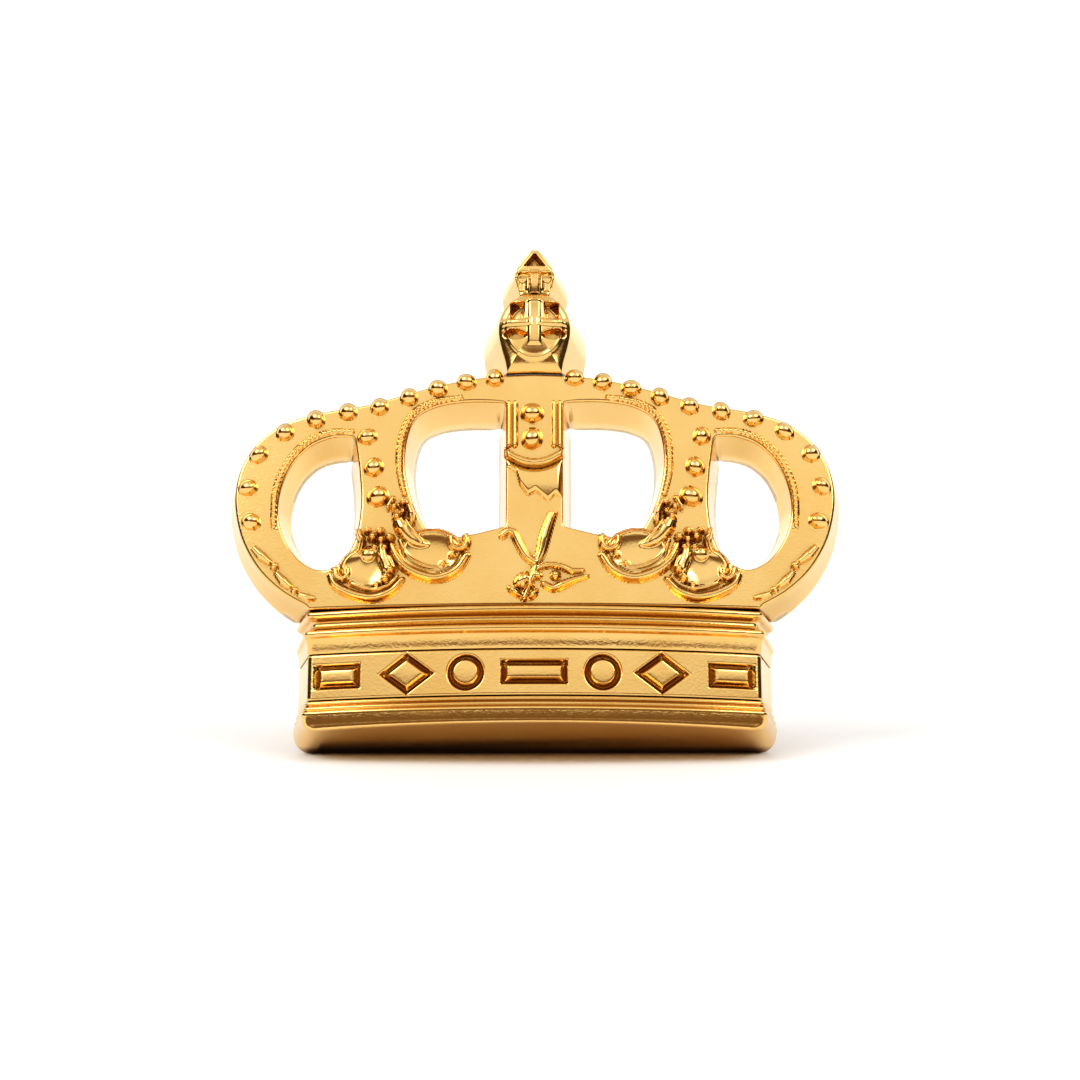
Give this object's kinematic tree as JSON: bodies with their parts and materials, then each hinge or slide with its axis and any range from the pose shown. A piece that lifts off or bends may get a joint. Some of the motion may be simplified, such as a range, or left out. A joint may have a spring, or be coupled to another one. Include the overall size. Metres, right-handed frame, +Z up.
{
  "type": "crown brooch",
  "caption": "Small gilt crown brooch with a bowed jewelled circlet, openwork arches, orb and cross, and a hinged pin with a safety catch behind.",
  "frame": {"origin": "centre of the footprint on the table, at table height", "axes": "+X to the viewer's right along the crown's width, +Y to the back, +Z up; the crown leans back about 20 degrees on its pin fittings"},
  "size_m": [0.021, 0.009, 0.017],
  "materials": {
    "gold_plate": "polished",
    "gold_fittings": "satin",
    "pin_steel": "polished"
  },
  "bodies": {
    "crown": {"base_moulding": "gold_plate", "jewel_band": "gold_plate", "cornice": "gold_plate", "jewel_square_left": "gold_plate", "jewel_diamond_left": "gold_plate", "jewel_round_left": "gold_plate", "jewel_centre": "gold_plate", "jewel_round_right": "gold_plate", "jewel_diamond_right": "gold_plate", "jewel_square_right": "gold_plate", "openwork": "gold_plate", "pearl_left_1": "gold_plate", "pearl_left_2": "gold_plate", "pearl_left_3": "gold_plate", "pearl_left_4": "gold_plate", "pearl_left_5": "gold_plate", "pearl_left_6": "gold_plate", "pearl_left_7": "gold_plate", "pearl_left_8": "gold_plate", "pearl_left_9": "gold_plate", "pearl_left_10": "gold_plate", "pearl_left_11": "gold_plate", "inner_pearl_left_1": "gold_plate", "inner_pearl_left_2": "gold_plate", "inner_pearl_left_3": "gold_plate", "pearl_right_1": "gold_plate", "pearl_right_2": "gold_plate", "pearl_right_3": "gold_plate", "pearl_right_4": "gold_plate", "pearl_right_5": "gold_plate", "pearl_right_6": "gold_plate", "pearl_right_7": "gold_plate", "pearl_right_8": "gold_plate", "pearl_right_9": "gold_plate", "pearl_right_10": "gold_plate", "pearl_right_11": "gold_plate", "inner_pearl_right_1": "gold_plate", "inner_pearl_right_2": "gold_plate", "inner_pearl_right_3": "gold_plate", "column_bead_1": "gold_plate", "column_bead_2": "gold_plate", "leaf_inner_left": "gold_plate", "leaf_outer_left": "gold_plate", "leaf_inner_right": "gold_plate", "leaf_outer_right": "gold_plate", "centre_sprig": "gold_plate", "column_collar": "gold_plate", "column_leaf": "gold_plate", "orb": "gold_plate", "cross": "gold_plate", "pin_bar": "gold_fittings", "hinge_bracket": "gold_fittings", "catch_barrel": "gold_fittings", "hinge_rivet": "pin_steel"},
    "pin": {"pin_stem": "pin_steel"},
    "catch": {"catch_rotor": "gold_fittings"}
  },
  "joints": [
    {"name": "pin_hinge", "type": "hinge", "parent": "crown", "child": "pin", "pos_m": [0.0062, 0.00242, 0.0017], "axis": [0, -0.3424, -0.9395], "range_deg": [0, 80]},
    {"name": "catch_turn", "type": "hinge", "parent": "crown", "child": "catch", "pos_m": [-0.0063, 0.00242, 0.0017], "axis": [-1, 0, 0], "range_deg": [0, 100]}
  ]
}
